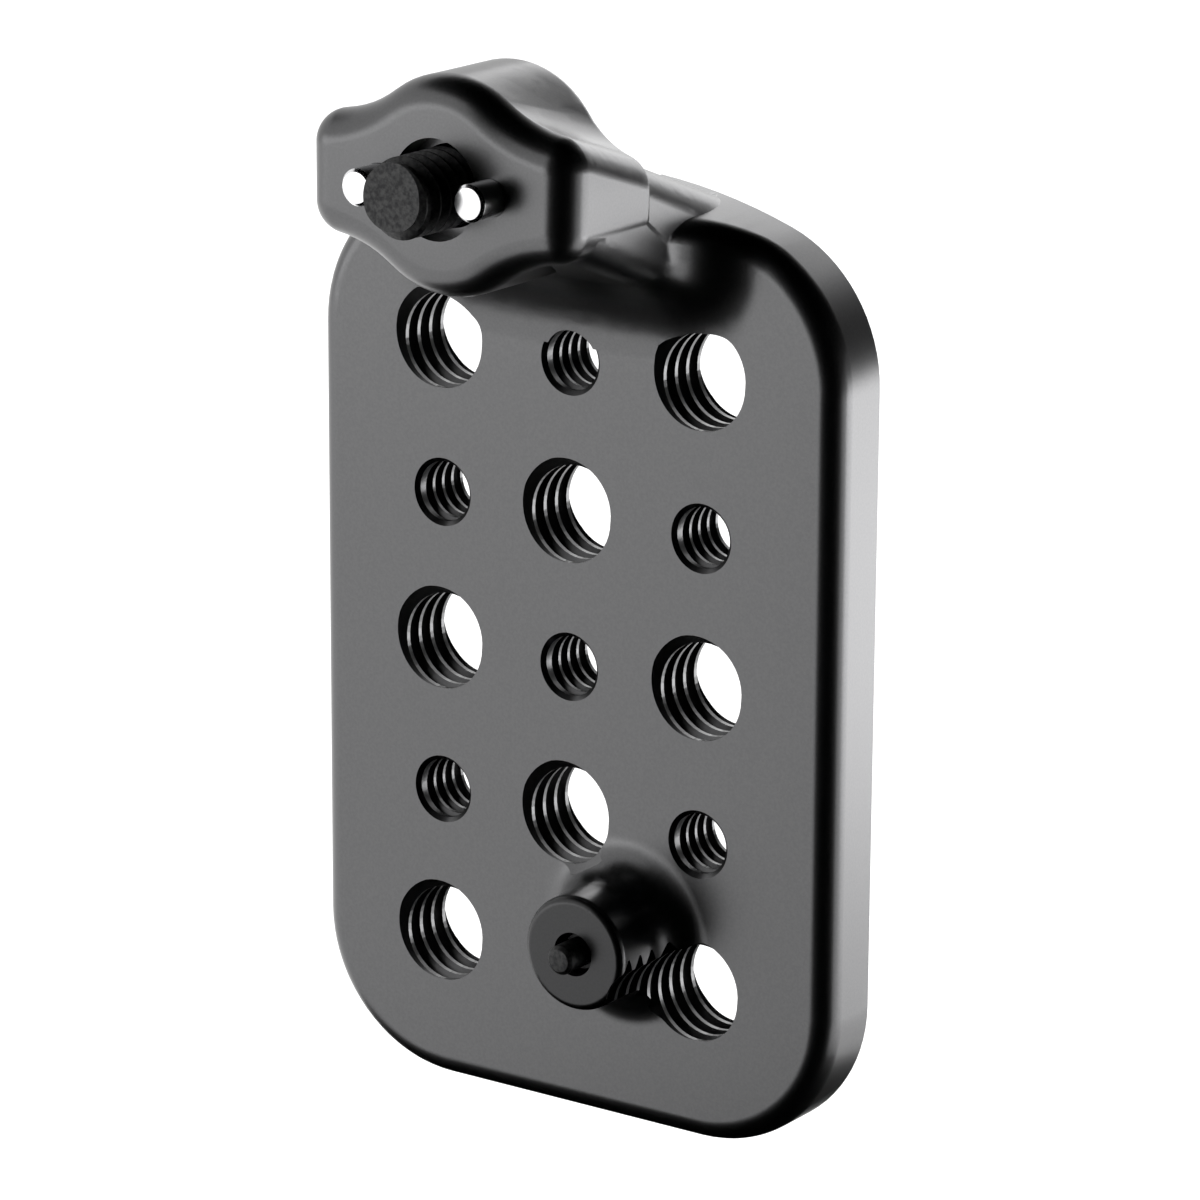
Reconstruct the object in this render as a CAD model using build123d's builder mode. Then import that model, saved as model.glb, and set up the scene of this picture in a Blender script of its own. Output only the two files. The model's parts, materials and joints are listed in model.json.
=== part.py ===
"""Camera accessory plate: a drilled and tapped plate with a raised mounting arm.

The frame has its origin on the axis of the arm screw, at the front seating face of the
arm. +X is to the right and +Z up as the plate is seen from its front, +Y runs back.
"""
from math import acos, atan2, cos, degrees, hypot, radians, sin, sqrt
import os

from build123d import *

# Grid of tapped holes, half inch pitch: columns from left to right, rows from the top
hole_pitch = 12.7
large_holes = [(1, 1), (1, 3), (2, 2), (3, 1), (3, 3), (4, 2), (5, 1), (5, 3)]
small_holes = [(1, 2), (2, 1), (2, 3), (3, 2), (4, 1), (4, 3)]
middle_row = 3
middle_column = 2
large_core_radius = 3.97        # 3/8 in, 16 threads per inch, at the thread's crests
small_core_radius = 2.50        # 1/4 in, 20 threads per inch, at the thread's crests
large_back_chamfer = 0.35
small_chamfer = 0.36

# Plate
plate_width = 50.8
plate_height_below = 38.1       # from the grid's centre down to the bottom edge
plate_thickness = 6.35
corner_radius = 12.7
crown_radius = 50.0             # shallow arch of the top edge
plate_front_fillet = 2.0
plate_back_chamfer = 0.5

# Arm that carries the seating face in front of the plate and above its top edge
seat_proud = 18.1               # seating face in front of the plate's face
seat_height = 42.07             # screw axis above the grid's centre
wing_half_width = 12.6
wing_half_height = 4.85
wing_corner_radius = 2.7
lobe_radius = 8.66
lobe_length = 11.2
lobe_blend_radius = 11.7
lobe_back_blend_radius = 7.0    # at the lobe's back, above the neck
seat_fillet = 2.5
lobe_back_fillet = 0.8
arm_slope = 0.37                # drop for each millimetre back, behind the seat's straight part
arm_straight = 2.6
neck_step = 0.1                 # the neck's walls stand this far inside the head's
arm_root_fillet = 5.9
root_underside = 0.85           # the sloping underside needs this share of the flare
root_sections = 6
root_block_height = 60.0
root_sink = 0.06                # the flare starts this far inside the neck's walls

# Arm screw, 1/4 in, 20 threads per inch, its low head sunk in the back of the head of the arm
screw_length = 12.7             # under the head
screw_projection = 5.13
screw_thread_radius = 3.175
screw_thread_length = 6.5
screw_shank_radius = 2.9
screw_tip_chamfer = 0.72
screw_head_radius = 4.75
screw_head_length = 3.2
screw_socket_across_flats = 4.0
screw_socket_depth = 1.9
screw_bore_clearance = 0.12     # round the thread, so that the screw can be put in
screw_head_clearance = 0.35
screw_seat_gap = 0.1            # under the head while the screw is loose
seat_recess_radius = 4.0
seat_recess_depth = 2.2

# Locating pins beside the arm screw, on slimmer shanks pressed into the arm
pin_radius = 1.47
pin_shank_radius = 1.25
pin_mouth_clearance = 0.03      # the chamfered mouth of the shank's hole round the pin
pin_spacing = 10.6
pin_projection = 2.93
pin_depth = 6.5
pin_chamfer = 0.25

# Boss near the plate's lower right corner, with a small screw that has a dog point
boss_x = 5.6
boss_z = -21.4                  # from the grid's centre
boss_height = 7.3
boss_radius = 4.8
boss_rim_fillet = 0.7
boss_root_fillet = 3.4
boss_bore_radius = 1.83
boss_screw_radius = 1.5
boss_point_radius = 1.22
boss_point_length = 3.2
boss_point_projection = 2.0
boss_point_chamfer = 0.3
boss_head_radius = 2.75
boss_head_length = 2.8
boss_head_clearance = 0.3
boss_head_recess_depth = 3.1
boss_socket_across_flats = 2.5
boss_socket_depth = 1.5

# Places in the part's frame
plate_face = seat_proud
plate_back = plate_face + plate_thickness
grid_z = -seat_height
corner_x = plate_width / 2 - corner_radius
corner_z = 2 * hole_pitch
crown_z = corner_z - sqrt((crown_radius - corner_radius) ** 2 - corner_x ** 2)
low_z = plate_height_below - corner_radius
crown_start = degrees(atan2(corner_z - crown_z, corner_x))
neck_half_width = wing_half_width - neck_step
neck_half_height = wing_half_height - neck_step
screw_tip = -screw_projection
screw_head_face = screw_tip + screw_length
head_recess_floor = screw_head_face - screw_seat_gap
boss_face = plate_face - boss_height
boss_recess_floor = plate_back - boss_head_recess_depth
boss_point_end = boss_face - boss_point_projection
boss_center = (boss_x, grid_z + boss_z)
pin_centers = [(-pin_spacing / 2, 0), (pin_spacing / 2, 0)]
pin_mouth_radius = pin_radius + pin_mouth_clearance
socket_share = 1 / sqrt(3)      # a hexagon's radius over its width across flats


def across(depth):
    """Plane square to +Y at a depth, with x to the right and y up."""
    return Plane.XZ.offset(-depth)


def hole_points(holes):
    return [((column - middle_column) * hole_pitch,
             grid_z - (row - middle_row) * hole_pitch) for row, column in holes]


def arm_drop(depth):
    """Height of the arm's middle at a depth behind the seating face."""
    return -arm_slope * max(0, depth - arm_straight)


def blend_radius(depth):
    """Radius of the blend from the lobe onto the wings, tighter toward the back."""
    share = max(0, depth - arm_straight) / (lobe_length - arm_straight)
    return lobe_blend_radius + share * (lobe_back_blend_radius - lobe_blend_radius)


def wing_blend(depth):
    """Where the blend meets the wing's end wall, and where it touches the lobe."""
    radius = blend_radius(depth)
    middle_y = arm_drop(depth) + wing_half_height + radius
    middle_x = sqrt((lobe_radius + radius) ** 2 - middle_y ** 2)
    end_y = middle_y - sqrt(radius ** 2 - max(0, middle_x - wing_half_width) ** 2)
    reach = hypot(wing_half_width, end_y)
    middles = lobe_radius + radius
    turn = acos((reach ** 2 + middles ** 2 - radius ** 2) / (2 * reach * middles))
    angle = atan2(end_y, wing_half_width) + turn
    return end_y, lobe_radius * cos(angle), lobe_radius * sin(angle)


def head_outline(depth):
    """The head's outline at one depth: its upper wings come down with the neck."""
    top, top_x, top_y = wing_blend(depth)
    bottom, bottom_x, bottom_y = wing_blend(0)
    radius = blend_radius(depth)
    with BuildSketch() as section:
        with BuildLine():
            Line((-wing_half_width, -bottom), (-wing_half_width, top))
            RadiusArc((-wing_half_width, top), (-top_x, top_y), -radius)
            ThreePointArc((-top_x, top_y), (0, lobe_radius), (top_x, top_y))
            RadiusArc((top_x, top_y), (wing_half_width, top), -radius)
            Line((wing_half_width, top), (wing_half_width, -bottom))
            RadiusArc((wing_half_width, -bottom), (bottom_x, -bottom_y), -lobe_blend_radius)
            ThreePointArc((bottom_x, -bottom_y), (0, -lobe_radius), (-bottom_x, -bottom_y))
            RadiusArc((-bottom_x, -bottom_y), (-wing_half_width, -bottom), -lobe_blend_radius)
        make_face()
        by_side = section.vertices().sort_by(Axis.X)
        fillet(by_side[:2] + by_side[-2:], wing_corner_radius)
    return section.sketch


with BuildSketch() as plate_outline:
    with BuildLine():
        Line((-corner_x, -plate_height_below), (corner_x, -plate_height_below))
        CenterArc((corner_x, -low_z), corner_radius, 270, 90)
        Line((plate_width / 2, -low_z), (plate_width / 2, corner_z))
        CenterArc((corner_x, corner_z), corner_radius, 0, crown_start)
        CenterArc((0, crown_z), crown_radius, crown_start, 180 - 2 * crown_start)
        CenterArc((-corner_x, corner_z), corner_radius, 180 - crown_start, crown_start)
        Line((-plate_width / 2, corner_z), (-plate_width / 2, -low_z))
        CenterArc((-corner_x, -low_z), corner_radius, 180, 90)
    make_face()

# Head of the arm: the lobe round the screw and its concave blends onto the wings
with BuildPart() as head:
    with BuildSketch(across(0)):
        add(head_outline(0))
    extrude(amount=-arm_straight)
    with BuildSketch(across(arm_straight)):
        add(head_outline(arm_straight))
    with BuildSketch(across(lobe_length)):
        add(head_outline(lobe_length))
    loft(ruled=True)
    fillet(head.faces().sort_by(Axis.Y)[-1].edges(), lobe_back_fillet)

# Root of the arm: it flares out to the plate's face on both sides and below
with BuildPart() as root:
    for step in range(root_sections + 1):
        angle = radians(90 * step / root_sections)
        depth = plate_face - arm_root_fillet * (1 - sin(angle))
        flare = arm_root_fillet * (1 - cos(angle)) - root_sink
        low = arm_drop(depth) - neck_half_height - flare * root_underside
        with BuildSketch(across(depth)):
            with Locations((0, low + root_block_height / 2)):
                RectangleRounded(2 * (neck_half_width + flare), root_block_height,
                                 wing_corner_radius + flare)
    loft()
    with BuildSketch(across(plate_face)):
        with Locations((0, grid_z)):
            add(plate_outline.sketch)
    extrude(amount=arm_root_fillet, mode=Mode.INTERSECT)

with BuildPart() as plate_body:
    with BuildSketch(across(plate_face)):
        with Locations((0, grid_z)):
            add(plate_outline.sketch)
    extrude(amount=-plate_thickness)
    add(root.part)
    walls = plate_body.faces().filter_by(lambda face: abs(face.normal_at().Y) < 0.001)
    rims = walls.edges().filter_by(Axis.Y, reverse=True)
    root_front = plate_face - arm_root_fillet
    fillet(rims.filter_by_position(Axis.Y, root_front + 0.1, plate_face), plate_front_fillet)
    chamfer(plate_body.faces().sort_by(Axis.Y)[-1].edges(), plate_back_chamfer)

    # The neck runs down through the plate, and the head stands in front
    with BuildSketch(across(arm_straight)):
        RectangleRounded(2 * neck_half_width, 2 * neck_half_height, wing_corner_radius)
    neck_run = (plate_back - arm_straight) * hypot(1, arm_slope)
    extrude(amount=neck_run, dir=(0, 1, -arm_slope))
    add(head.part)
    fillet(plate_body.edges().filter_by_position(Axis.Y, -0.01, 0.01), seat_fillet)

    # Boss for the small screw
    with BuildSketch(across(plate_face)):
        with Locations(boss_center):
            Circle(boss_radius)
    extrude(amount=boss_height)
    boss_rims = plate_body.edges().filter_by(
        lambda edge: edge.geom_type == GeomType.CIRCLE and abs(edge.radius - boss_radius) < 0.001)
    fillet(boss_rims.sort_by(Axis.Y)[0], boss_rim_fillet)
    fillet(boss_rims.sort_by(Axis.Y)[-1], boss_root_fillet)

    # Tapped grid, bored at the threads' crests from in front of the arm's root
    with BuildSketch(across(plate_back)):
        with Locations(*hole_points(large_holes)):
            Circle(large_core_radius)
        with Locations(*hole_points(small_holes)):
            Circle(small_core_radius)
    extrude(amount=plate_back - boss_face, mode=Mode.SUBTRACT)
    with BuildSketch(across(plate_back)):
        with Locations(*hole_points(large_holes)):
            Circle(large_core_radius + large_back_chamfer)
    extrude(amount=large_back_chamfer, taper=45, mode=Mode.SUBTRACT)
    with BuildSketch(across(plate_face)):
        with Locations(*hole_points(small_holes)):
            Circle(small_core_radius + small_chamfer)
    extrude(amount=-small_chamfer, taper=45, mode=Mode.SUBTRACT)

    # Seat recess and bore of the arm screw, and the pins' holes; the screw goes in from
    # behind, so its head's recess runs out through the neck as an open trough
    with BuildSketch(across(0)):
        Circle(screw_thread_radius + screw_bore_clearance)
    extrude(amount=-lobe_length, mode=Mode.SUBTRACT)
    with BuildSketch(across(0)):
        Circle(seat_recess_radius)
    extrude(amount=-seat_recess_depth, mode=Mode.SUBTRACT)
    with BuildSketch(across(0)):
        with Locations(*pin_centers):
            Circle(pin_shank_radius)
    extrude(amount=-pin_depth, mode=Mode.SUBTRACT)
    with BuildSketch(across(0)):
        with Locations(*pin_centers):
            Circle(pin_mouth_radius)
    extrude(amount=pin_shank_radius - pin_mouth_radius, taper=45, mode=Mode.SUBTRACT)
    with BuildSketch(across(plate_back)):
        Circle(screw_head_radius + screw_head_clearance)
    extrude(amount=plate_back - head_recess_floor, mode=Mode.SUBTRACT)

    # Bore and head recess of the boss screw
    with BuildSketch(across(boss_face)):
        with Locations(boss_center):
            Circle(boss_bore_radius)
    extrude(amount=boss_face - plate_back, mode=Mode.SUBTRACT)
    with BuildSketch(across(plate_back)):
        with Locations(boss_center):
            Circle(boss_head_radius + boss_head_clearance)
    extrude(amount=boss_head_recess_depth, mode=Mode.SUBTRACT)
plate_body.part.label = "plate_body"

with BuildPart() as arm_screw:
    with BuildSketch(across(screw_tip)):
        Circle(screw_thread_radius)
    extrude(amount=-screw_thread_length)
    chamfer(arm_screw.edges().sort_by(Axis.Y)[0], screw_tip_chamfer)
    with BuildSketch(across(screw_tip)):
        Circle(screw_shank_radius)
    extrude(amount=-screw_length)
    with BuildSketch(across(screw_head_face)):
        Circle(screw_head_radius)
    extrude(amount=-screw_head_length)
    with BuildSketch(across(screw_head_face + screw_head_length)):
        RegularPolygon(screw_socket_across_flats * socket_share, 6)
    extrude(amount=screw_socket_depth, mode=Mode.SUBTRACT)
arm_screw.part.label = "arm_screw"

pins = {}
for pin_name, pin_center in zip(("locating_pin_left", "locating_pin_right"), pin_centers):
    with BuildPart() as pin:
        with BuildSketch(across(-pin_projection)):
            with Locations(pin_center):
                Circle(pin_radius)
        extrude(amount=-pin_projection)
        chamfer(pin.edges().sort_by(Axis.Y)[0], pin_chamfer)
        with BuildSketch(across(0)):
            with Locations(pin_center):
                Circle(pin_shank_radius)
        extrude(amount=-pin_depth)
    pin.part.label = pin_name
    pins[pin_name] = pin.part

with BuildPart() as boss_screw:
    with BuildSketch(across(boss_point_end)):
        with Locations(boss_center):
            Circle(boss_point_radius)
    extrude(amount=-boss_point_length)
    chamfer(boss_screw.edges().sort_by(Axis.Y)[0], boss_point_chamfer)
    with BuildSketch(across(boss_point_end + boss_point_length)):
        with Locations(boss_center):
            Circle(boss_screw_radius)
    extrude(amount=boss_point_end + boss_point_length - boss_recess_floor - screw_seat_gap)
    with BuildSketch(across(boss_recess_floor + screw_seat_gap)):
        with Locations(boss_center):
            Circle(boss_head_radius)
    extrude(amount=-boss_head_length)
    with BuildSketch(across(boss_recess_floor + screw_seat_gap + boss_head_length)):
        with Locations(boss_center):
            RegularPolygon(boss_socket_across_flats * socket_share, 6)
    extrude(amount=boss_socket_depth, mode=Mode.SUBTRACT)
boss_screw.part.label = "boss_screw"

os.makedirs("parts", exist_ok=True)
export_step(plate_body.part, "parts/plate_body.step")
export_step(arm_screw.part, "parts/arm_screw.step")
export_step(boss_screw.part, "parts/boss_screw.step")
for pin_name, pin_part in pins.items():
    export_step(pin_part, f"parts/{pin_name}.step")
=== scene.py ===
import json
from math import ceil, cos, pi, radians, sin

import bmesh
import bpy
from mathutils import Matrix, Vector


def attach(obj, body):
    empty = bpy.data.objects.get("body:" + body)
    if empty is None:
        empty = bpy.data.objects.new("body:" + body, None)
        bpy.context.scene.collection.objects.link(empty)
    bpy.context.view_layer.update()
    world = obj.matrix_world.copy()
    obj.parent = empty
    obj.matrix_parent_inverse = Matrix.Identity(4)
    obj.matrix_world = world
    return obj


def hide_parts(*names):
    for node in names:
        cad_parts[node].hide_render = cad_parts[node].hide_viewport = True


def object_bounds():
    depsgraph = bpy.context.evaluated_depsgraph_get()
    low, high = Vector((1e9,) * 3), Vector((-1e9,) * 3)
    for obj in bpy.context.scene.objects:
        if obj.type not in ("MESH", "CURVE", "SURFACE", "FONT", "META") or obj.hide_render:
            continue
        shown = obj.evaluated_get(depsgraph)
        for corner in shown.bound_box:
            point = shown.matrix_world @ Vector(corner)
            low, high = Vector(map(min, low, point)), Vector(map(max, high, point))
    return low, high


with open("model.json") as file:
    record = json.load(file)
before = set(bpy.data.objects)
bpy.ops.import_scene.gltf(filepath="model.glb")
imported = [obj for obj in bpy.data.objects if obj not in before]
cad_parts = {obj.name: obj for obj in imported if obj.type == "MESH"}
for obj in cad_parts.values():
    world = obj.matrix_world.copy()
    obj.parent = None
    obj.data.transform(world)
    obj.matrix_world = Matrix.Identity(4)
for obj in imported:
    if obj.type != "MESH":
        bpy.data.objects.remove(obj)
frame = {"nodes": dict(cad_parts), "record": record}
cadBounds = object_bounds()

scene = bpy.context.scene
scene.view_settings.view_transform = "Standard"
mm = 0.001
mounts = {mount["name"]: mount for mount in frame["record"]["mounts"]}

# Camera: a long lens from the right and a little above
cameraSetup = {
    "place": (237.96 * mm, -319.90 * mm, 78.15 * mm),
    "azimuth": radians(34.8036),
    "elevation": radians(15.4948),
    "roll": radians(0.3186),
    "lens": 159.543,
    "sensor": 36.0,
    "clip": (0.01, 50),
}


def addCamera(setup):
    data = bpy.data.cameras.new("camera")
    data.lens = setup["lens"]
    data.sensor_width = setup["sensor"]
    data.clip_start, data.clip_end = setup["clip"]
    camera = bpy.data.objects.new("camera", data)
    scene.collection.objects.link(camera)
    camera.matrix_world = (Matrix.Translation(setup["place"])
                           @ Matrix.Rotation(setup["azimuth"], 4, "Z")
                           @ Matrix.Rotation(pi / 2 - setup["elevation"], 4, "X")
                           @ Matrix.Rotation(setup["roll"], 4, "Z"))
    scene.camera = camera


addCamera(cameraSetup)
print("camera ready")

# Studio: a pale floor, black cards that only reflections see, and lamps
studio = {
    "middle": Vector((0, 15 * mm, -40 * mm)),
    "skyStrength": 1.1,
    "floorDrop": 70 * mm,
    "floorSize": 8.0,
    "floorColour": (0.93, 0.93, 0.93, 1),
    "cardNear": 0.12,
    "cardFar": 0.55,
    "cardTop": 0.8,
    "cardFrom": radians(-14),
    "cardTo": radians(84),
    "backFar": 0.5,
    "backLow": -75 * mm,
    "backTo": radians(157),
    "ceilingRadius": 1.5,
    "ceilingFrom": radians(42),
    "floorCardRadius": 0.13,
    "cardLift": mm,
    "cardSteps": 24,
    "roundSegments": 48,
    "flatRoughness": 0.9,
}


def newObject(name, mesh, material=None):
    piece = bpy.data.objects.new(name, mesh)
    scene.collection.objects.link(piece)
    if material:
        mesh.materials.append(material)
    return piece


def meshFrom(bm, name):
    mesh = bpy.data.meshes.new(name)
    bm.to_mesh(mesh)
    bm.free()
    return mesh


def studioWorld():
    # White where the camera and mirrors look, and a plain level of light on the floor
    world = bpy.data.worlds.new("studio")
    scene.world = world
    world.use_nodes = True
    nodes, links = world.node_tree.nodes, world.node_tree.links
    nodes.clear()
    out = nodes.new("ShaderNodeOutputWorld")
    mix = nodes.new("ShaderNodeMixShader")
    levels = []
    for strength in (studio["skyStrength"], 1.0):
        level = nodes.new("ShaderNodeBackground")
        level.inputs["Color"].default_value = (1, 1, 1, 1)
        level.inputs["Strength"].default_value = strength
        levels.append(level)
    path = nodes.new("ShaderNodeLightPath")
    seen = path.outputs["Is Camera Ray"]
    for other in ("Is Glossy Ray", "Is Transmission Ray"):
        either = nodes.new("ShaderNodeMath")
        either.operation = "MAXIMUM"
        links.new(seen, either.inputs[0])
        links.new(path.outputs[other], either.inputs[1])
        seen = either.outputs[0]
    links.new(seen, mix.inputs["Fac"])
    links.new(levels[0].outputs[0], mix.inputs[1])
    links.new(levels[1].outputs[0], mix.inputs[2])
    links.new(mix.outputs[0], out.inputs["Surface"])


def flatMaterial(name, colour):
    material = bpy.data.materials.new(name)
    material.use_nodes = True
    shader = material.node_tree.nodes["Principled BSDF"]
    shader.inputs["Base Color"].default_value = colour
    shader.inputs["Roughness"].default_value = studio["flatRoughness"]
    shader.inputs["Specular IOR Level"].default_value = 0
    return material


def onlyReflected(card):
    card.visible_camera = False
    card.visible_diffuse = False
    card.visible_shadow = False
    card.visible_transmission = False
    card.visible_volume_scatter = False


def addFloor():
    bm = bmesh.new()
    bmesh.ops.create_grid(bm, x_segments=1, y_segments=1, size=studio["floorSize"] / 2)
    low = cadBounds[0][2] - studio["floorDrop"]
    bmesh.ops.translate(bm, vec=(0, 0, low), verts=bm.verts)
    pale = flatMaterial("paleFloor", studio["floorColour"])
    newObject("floor", meshFrom(bm, "floor"), pale)
    return low


def addCards(floorHeight):
    black = flatMaterial("blackCard", (0, 0, 0, 1))
    middle = studio["middle"]
    low = floorHeight + 2 * studio["cardLift"]
    near, far, back, top = (studio[key] for key in ("cardNear", "cardFar", "backFar", "cardTop"))
    # The camera's card lies on the floor, then stands up; the back card stands clear of it
    for name, start, end, corners in (
            ("cameraCard", studio["cardFrom"], studio["cardTo"],
             ((near, low), (far, low), (far, top))),
            ("backCard", studio["cardTo"], studio["backTo"],
             ((back, studio["backLow"]), (back, top)))):
        bm = bmesh.new()
        side = Vector((sin(start), -cos(start), 0))
        profile = [bm.verts.new(side * distance + Vector((0, 0, height)))
                   for distance, height in corners]
        edges = [bm.edges.new(pair) for pair in zip(profile, profile[1:])]
        bmesh.ops.spin(bm, geom=profile + edges, cent=(0, 0, 0), axis=(0, 0, 1),
                       angle=end - start, steps=studio["cardSteps"])
        bmesh.ops.translate(bm, vec=(middle.x, middle.y, 0), verts=bm.verts)
        onlyReflected(newObject(name, meshFrom(bm, name), black))
    # Ceiling: the cap of a sphere
    bm = bmesh.new()
    radius = studio["ceilingRadius"]
    bmesh.ops.create_uvsphere(bm, u_segments=studio["roundSegments"],
                              v_segments=studio["roundSegments"] // 2, radius=radius)
    bmesh.ops.bisect_plane(bm, geom=bm.verts[:] + bm.edges[:] + bm.faces[:],
                           plane_co=(0, 0, radius * sin(studio["ceilingFrom"])),
                           plane_no=(0, 0, -1), clear_outer=True)
    bmesh.ops.translate(bm, vec=middle, verts=bm.verts)
    onlyReflected(newObject("ceilingCard", meshFrom(bm, "ceilingCard"), black))
    # Disc under the object
    bm = bmesh.new()
    bmesh.ops.create_circle(bm, cap_ends=True, segments=studio["roundSegments"],
                            radius=studio["floorCardRadius"])
    bmesh.ops.translate(bm, vec=(middle.x, middle.y, floorHeight + studio["cardLift"]),
                        verts=bm.verts)
    onlyReflected(newObject("floorCard", meshFrom(bm, "floorCard"), black))


# The lamp above lights the floor only
lamps = {
    "frontLeft": {"azimuth": radians(-46), "elevation": radians(-5), "distance": 1.0,
                  "size": (0.9, 0.5), "power": 2.2},
    "rightBack": {"azimuth": radians(136), "elevation": radians(-10), "distance": 0.305,
                  "size": (0.34, 0.105), "power": 0.42},
    "behind": {"azimuth": radians(192), "elevation": radians(22), "distance": 1.0,
               "size": (0.7, 0.45), "power": 1.6},
    "above": {"azimuth": radians(-10), "elevation": radians(75), "distance": 1.1,
              "size": (0.8, 0.8), "power": 6.0, "inReflections": False},
}


def addLamp(name, setup):
    data = bpy.data.lights.new(name, "AREA")
    data.shape = "RECTANGLE"
    data.size, data.size_y = setup["size"]
    data.energy = setup["power"]
    lamp = bpy.data.objects.new(name, data)
    scene.collection.objects.link(lamp)
    azimuth, elevation = setup["azimuth"], setup["elevation"]
    back = Vector((sin(azimuth) * cos(elevation), -cos(azimuth) * cos(elevation), sin(elevation)))
    lamp.matrix_world = (Matrix.Translation(studio["middle"] + back * setup["distance"])
                         @ back.to_track_quat("Z", "Y").to_matrix().to_4x4())
    lamp.visible_camera = False
    lamp.visible_glossy = setup.get("inReflections", True)


studioWorld()
addCards(addFloor())
for lampName, lampSetup in lamps.items():
    addLamp(lampName, lampSetup)
print("studio ready")

# Materials
finishes = {
    "anodised_aluminium": {
        "roughness": 0.30,
        "dark": (0.110, 0.110, 0.112, 1), "pale": (0.120, 0.120, 0.122, 1), "mottleScale": 5000,
        "grainScale": 7000, "grainStrength": 0.3, "grainDepth": 0.01 * mm,
        # The seat entries paint shade: the base colour is darker on the boss's seat
        "seatBelow": -45 * mm, "seatInFront": 11.1 * mm, "seatShade": 0.42,
    },
    "black_oxide_steel": {
        "roughness": 0.5,
        "dark": (0.030, 0.030, 0.031, 1), "pale": (0.062, 0.062, 0.062, 1), "mottleScale": 3000,
        "grainScale": 5000, "grainStrength": 0.5, "grainDepth": 0.02 * mm,
    },
    "bright_steel": {
        "roughness": 0.22,
        "dark": (0.80, 0.80, 0.81, 1), "pale": (0.86, 0.86, 0.87, 1), "mottleScale": 2500,
        "grainScale": 6000, "grainStrength": 0.15, "grainDepth": 0.01 * mm,
    },
}


def objectNoise(nodes, links, scale, detail):
    place = nodes.new("ShaderNodeTexCoord")
    mapping = nodes.new("ShaderNodeMapping")
    mapping.inputs["Scale"].default_value = (scale, scale, scale)
    noise = nodes.new("ShaderNodeTexNoise")
    noise.inputs["Scale"].default_value = 1.0
    noise.inputs["Detail"].default_value = detail
    links.new(place.outputs["Object"], mapping.inputs["Vector"])
    links.new(mapping.outputs["Vector"], noise.inputs["Vector"])
    return noise.outputs["Fac"]


def paintedSeatShade(nodes, links, finish, colour):
    # Painted shade: multiplies the base colour darker on the boss's seat, in front of seatInFront
    # and below seatBelow
    # The boss's seat reads darker than the plate's face in the photo; its level is matched to that
    place = nodes.new("ShaderNodeTexCoord")
    split = nodes.new("ShaderNodeSeparateXYZ")
    links.new(place.outputs["Object"], split.inputs["Vector"])
    limits = []
    for axis, limit in (("Y", finish["seatInFront"]), ("Z", finish["seatBelow"])):
        under = nodes.new("ShaderNodeMath")
        under.operation = "LESS_THAN"
        under.inputs[1].default_value = limit
        links.new(split.outputs[axis], under.inputs[0])
        limits.append(under.outputs[0])
    both = nodes.new("ShaderNodeMath")
    both.operation = "MULTIPLY"
    shade = nodes.new("ShaderNodeMix")
    shade.data_type = "RGBA"
    shade.blend_type = "MULTIPLY"
    links.new(limits[0], both.inputs[0])
    links.new(limits[1], both.inputs[1])
    links.new(both.outputs[0], shade.inputs["Factor"])
    links.new(colour, shade.inputs["A"])
    level = finish["seatShade"]
    shade.inputs["B"].default_value = (level, level, level, 1)
    return shade.outputs["Result"]


def metalMaterial(name, finish):
    material = bpy.data.materials.new(name)
    material.use_nodes = True
    nodes, links = material.node_tree.nodes, material.node_tree.links
    shader = nodes["Principled BSDF"]
    shader.inputs["Metallic"].default_value = 1.0
    shader.inputs["Roughness"].default_value = finish["roughness"]
    bump = nodes.new("ShaderNodeBump")
    bump.inputs["Strength"].default_value = finish["grainStrength"]
    bump.inputs["Distance"].default_value = finish["grainDepth"]
    links.new(objectNoise(nodes, links, finish["grainScale"], 2.0), bump.inputs["Height"])
    links.new(bump.outputs["Normal"], shader.inputs["Normal"])
    spread = nodes.new("ShaderNodeMapRange")
    spread.inputs["From Min"].default_value = 0.35
    spread.inputs["From Max"].default_value = 0.65
    ramp = nodes.new("ShaderNodeMix")
    ramp.data_type = "RGBA"
    ramp.inputs["A"].default_value = finish["dark"]
    ramp.inputs["B"].default_value = finish["pale"]
    links.new(objectNoise(nodes, links, finish["mottleScale"], 4.0), spread.inputs["Value"])
    links.new(spread.outputs["Result"], ramp.inputs["Factor"])
    colour = ramp.outputs["Result"]
    # Painted shade on the boss's seat
    if "seatShade" in finish:
        colour = paintedSeatShade(nodes, links, finish, colour)
    links.new(colour, shader.inputs["Base Color"])
    return material


materials = {slotName: metalMaterial(slotName, finish) for slotName, finish in finishes.items()}
print("materials ready")


# Finished pieces: merged copies of the CAD pieces, with what machining leaves on them
shaping = {
    "weld": 0.0005 * mm,
    "edgeSegments": 2,
    "edgeAngle": radians(40),
    "sharpAngle": radians(20),
    "flatWeight": 100,
}


def cadCopy(nodeName, name):
    bm = bmesh.new()
    bm.from_mesh(frame["nodes"][nodeName].data)
    bmesh.ops.remove_doubles(bm, verts=bm.verts, dist=shaping["weld"])
    mesh = meshFrom(bm, name)
    mesh.attributes.remove(mesh.attributes["custom_normal"])
    return newObject(name, mesh)


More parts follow.
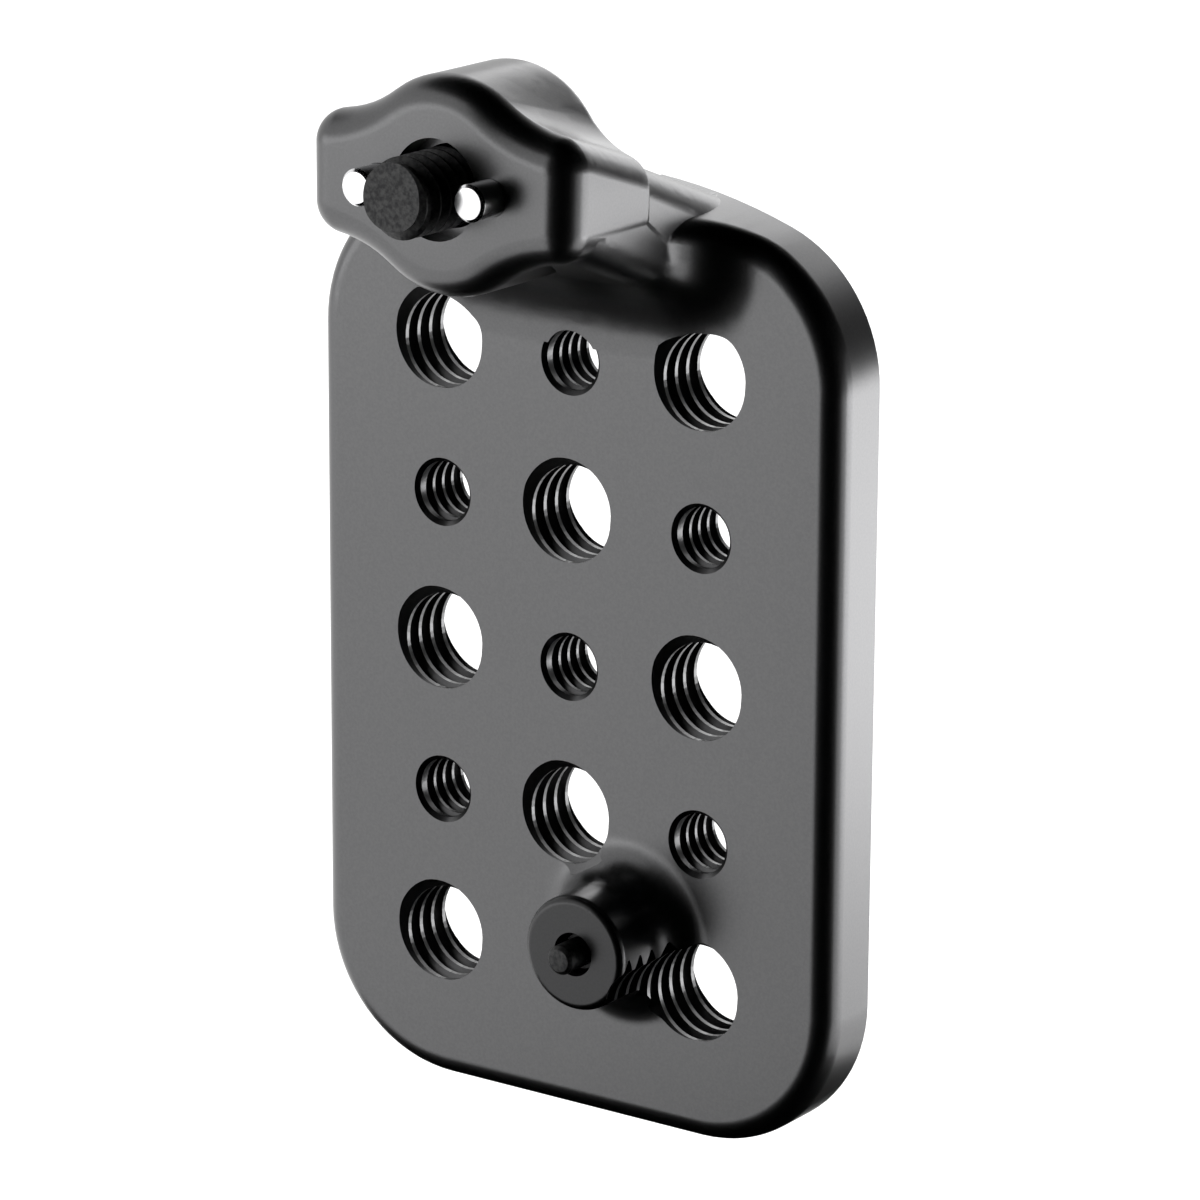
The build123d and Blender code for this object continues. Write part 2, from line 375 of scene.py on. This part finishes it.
def grooveMesh(thread, startAngle, startDepth, endDepth):
    # A thread's groove swept round +Y; angles run from +X to +Z
    bm = bmesh.new()
    turn = Matrix.Rotation(-startAngle, 3, "Y")
    corners = [bm.verts.new(Vector((0, startDepth, 0)) + turn @ Vector((radius, depth, 0)))
               for radius, depth in (
                   (thread["mouth"], -thread["crestHalf"]), (thread["crest"], -thread["crestHalf"]),
                   (thread["root"], -thread["rootHalf"]), (thread["root"], thread["rootHalf"]),
                   (thread["crest"], thread["crestHalf"]), (thread["mouth"], thread["crestHalf"]))]
    step = thread["pitch"] / thread["steps"]
    steps = ceil((endDepth - startDepth) / step)
    bmesh.ops.spin(bm, geom=[bm.faces.new(corners)], cent=(0, startDepth, 0), axis=(0, 1, 0),
                   dvec=(0, step, 0), angle=2 * pi * steps / thread["steps"], steps=steps)
    bmesh.ops.recalc_face_normals(bm, faces=bm.faces)
    return meshFrom(bm, "groove")


def cutterAt(groove, centres, bm):
    for x, z in centres:
        copy = groove.copy()
        copy.transform(Matrix.Translation((x, 0, z)))
        bm.from_mesh(copy)


def finishPiece(piece, cadNode, body, slotName, edgeWidth=0.0, cutter=None):
    # Breaks a piece's edges, cuts its grooves, shades it and lets it stand for its CAD node
    if edgeWidth:
        edges = piece.modifiers.new("edges", "BEVEL")
        edges.width = edgeWidth
        edges.segments = shaping["edgeSegments"]
        edges.limit_method = "ANGLE"
        edges.angle_limit = shaping["edgeAngle"]
    if cutter:
        grooves = piece.modifiers.new("grooves", "BOOLEAN")
        grooves.operation = "DIFFERENCE"
        grooves.solver = "MANIFOLD"
        grooves.object = cutter
    bpy.context.view_layer.update()
    cut = piece.evaluated_get(bpy.context.evaluated_depsgraph_get())
    mesh = bpy.data.meshes.new_from_object(cut)
    piece.modifiers.clear()
    piece.data = mesh
    if cutter:
        bpy.data.objects.remove(cutter)
    mesh.materials.clear()
    mesh.materials.append(materials[slotName])
    for face in mesh.polygons:
        face.use_smooth = True
    mesh.set_sharp_from_angle(angle=shaping["sharpAngle"])
    flats = piece.modifiers.new("flats", "WEIGHTED_NORMAL")
    flats.keep_sharp = True
    flats.weight = shaping["flatWeight"]
    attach(piece, body)
    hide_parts(cadNode)
    print(piece.name, "has", len(mesh.polygons), "faces")


# Plate with its tapped holes; the threads also cut the boss and the arm's root in front
threads = {
    "large": {"pitch": 25.4 / 16 * mm, "steps": 48, "crestHalf": 0.595 * mm, "rootHalf": 0.1 * mm,
              "mouth": 3.67 * mm, "crest": 3.97 * mm, "root": 4.79 * mm},
    "small": {"pitch": 25.4 / 20 * mm, "steps": 40, "crestHalf": 0.476 * mm, "rootHalf": 0.08 * mm,
              "mouth": 2.2 * mm, "crest": 2.50 * mm, "root": 3.19 * mm},
}
tapping = {
    "large": {"startAngle": pi, "start": -8.14 * mm, "past": 1.0 * mm},
    "small": {"startAngle": 2.14 * pi, "start": 0.84 * mm, "past": 1.0 * mm},
}


def patternCentres(mount):
    dims = mount["dims"]
    sides = [[-0.5, 0.5] if key in dims else [0] for key in ("spacing_x_mm", "spacing_y_mm")]
    return [(mount["pos_m"][0] + side * dims.get("spacing_x_mm", 0) * mm,
             mount["pos_m"][2] + up * dims.get("spacing_y_mm", 0) * mm)
            for side in sides[0] for up in sides[1]]


def tappedPlate():
    back = mounts["plate_back"]["pos_m"][1]
    face = 2 * mounts["large_corner_holes"]["pos_m"][1] - back
    bm = bmesh.new()
    for size, cut in tapping.items():
        groove = grooveMesh(threads[size], cut["startAngle"],
                            face + cut["start"], back + cut["past"])
        for mount in mounts.values():
            if mount["kind"] == "bolt_pattern" and mount["name"].startswith(size):
                cutterAt(groove, patternCentres(mount), bm)
    finishPiece(cadCopy("plate_body", "tappedPlate"), "plate_body", "plate", "anodised_aluminium",
                cutter=newObject("plateGrooves", meshFrom(bm, "plateGrooves")))


tappedPlate()

# Arm screw, its thread cut from in front of the tip to the seat's recess
armThread = {"pitch": 25.4 / 20 * mm, "steps": 48, "crestHalf": 0.55 * mm, "rootHalf": 0.16 * mm,
             "mouth": 3.4 * mm, "crest": 3.175 * mm, "root": 2.42 * mm,
             "start": -5.9 * mm, "end": 1.0 * mm}


armGroove = newObject("armGroove", grooveMesh(armThread, pi, armThread["start"], armThread["end"]))
finishPiece(cadCopy("arm_screw", "threadedArmScrew"), "arm_screw", "arm_screw",
            "black_oxide_steel", edgeWidth=0.1 * mm, cutter=armGroove)

# Plain pieces with their edges broken
finishPiece(cadCopy("boss_screw", "bossScrew"), "boss_screw", "boss_screw", "black_oxide_steel",
            edgeWidth=0.08 * mm)
for pinNode, pinName in (("locating_pin_left", "leftPin"), ("locating_pin_right", "rightPin")):
    finishPiece(cadCopy(pinNode, pinName), pinNode, "plate", "bright_steel", edgeWidth=0.05 * mm)
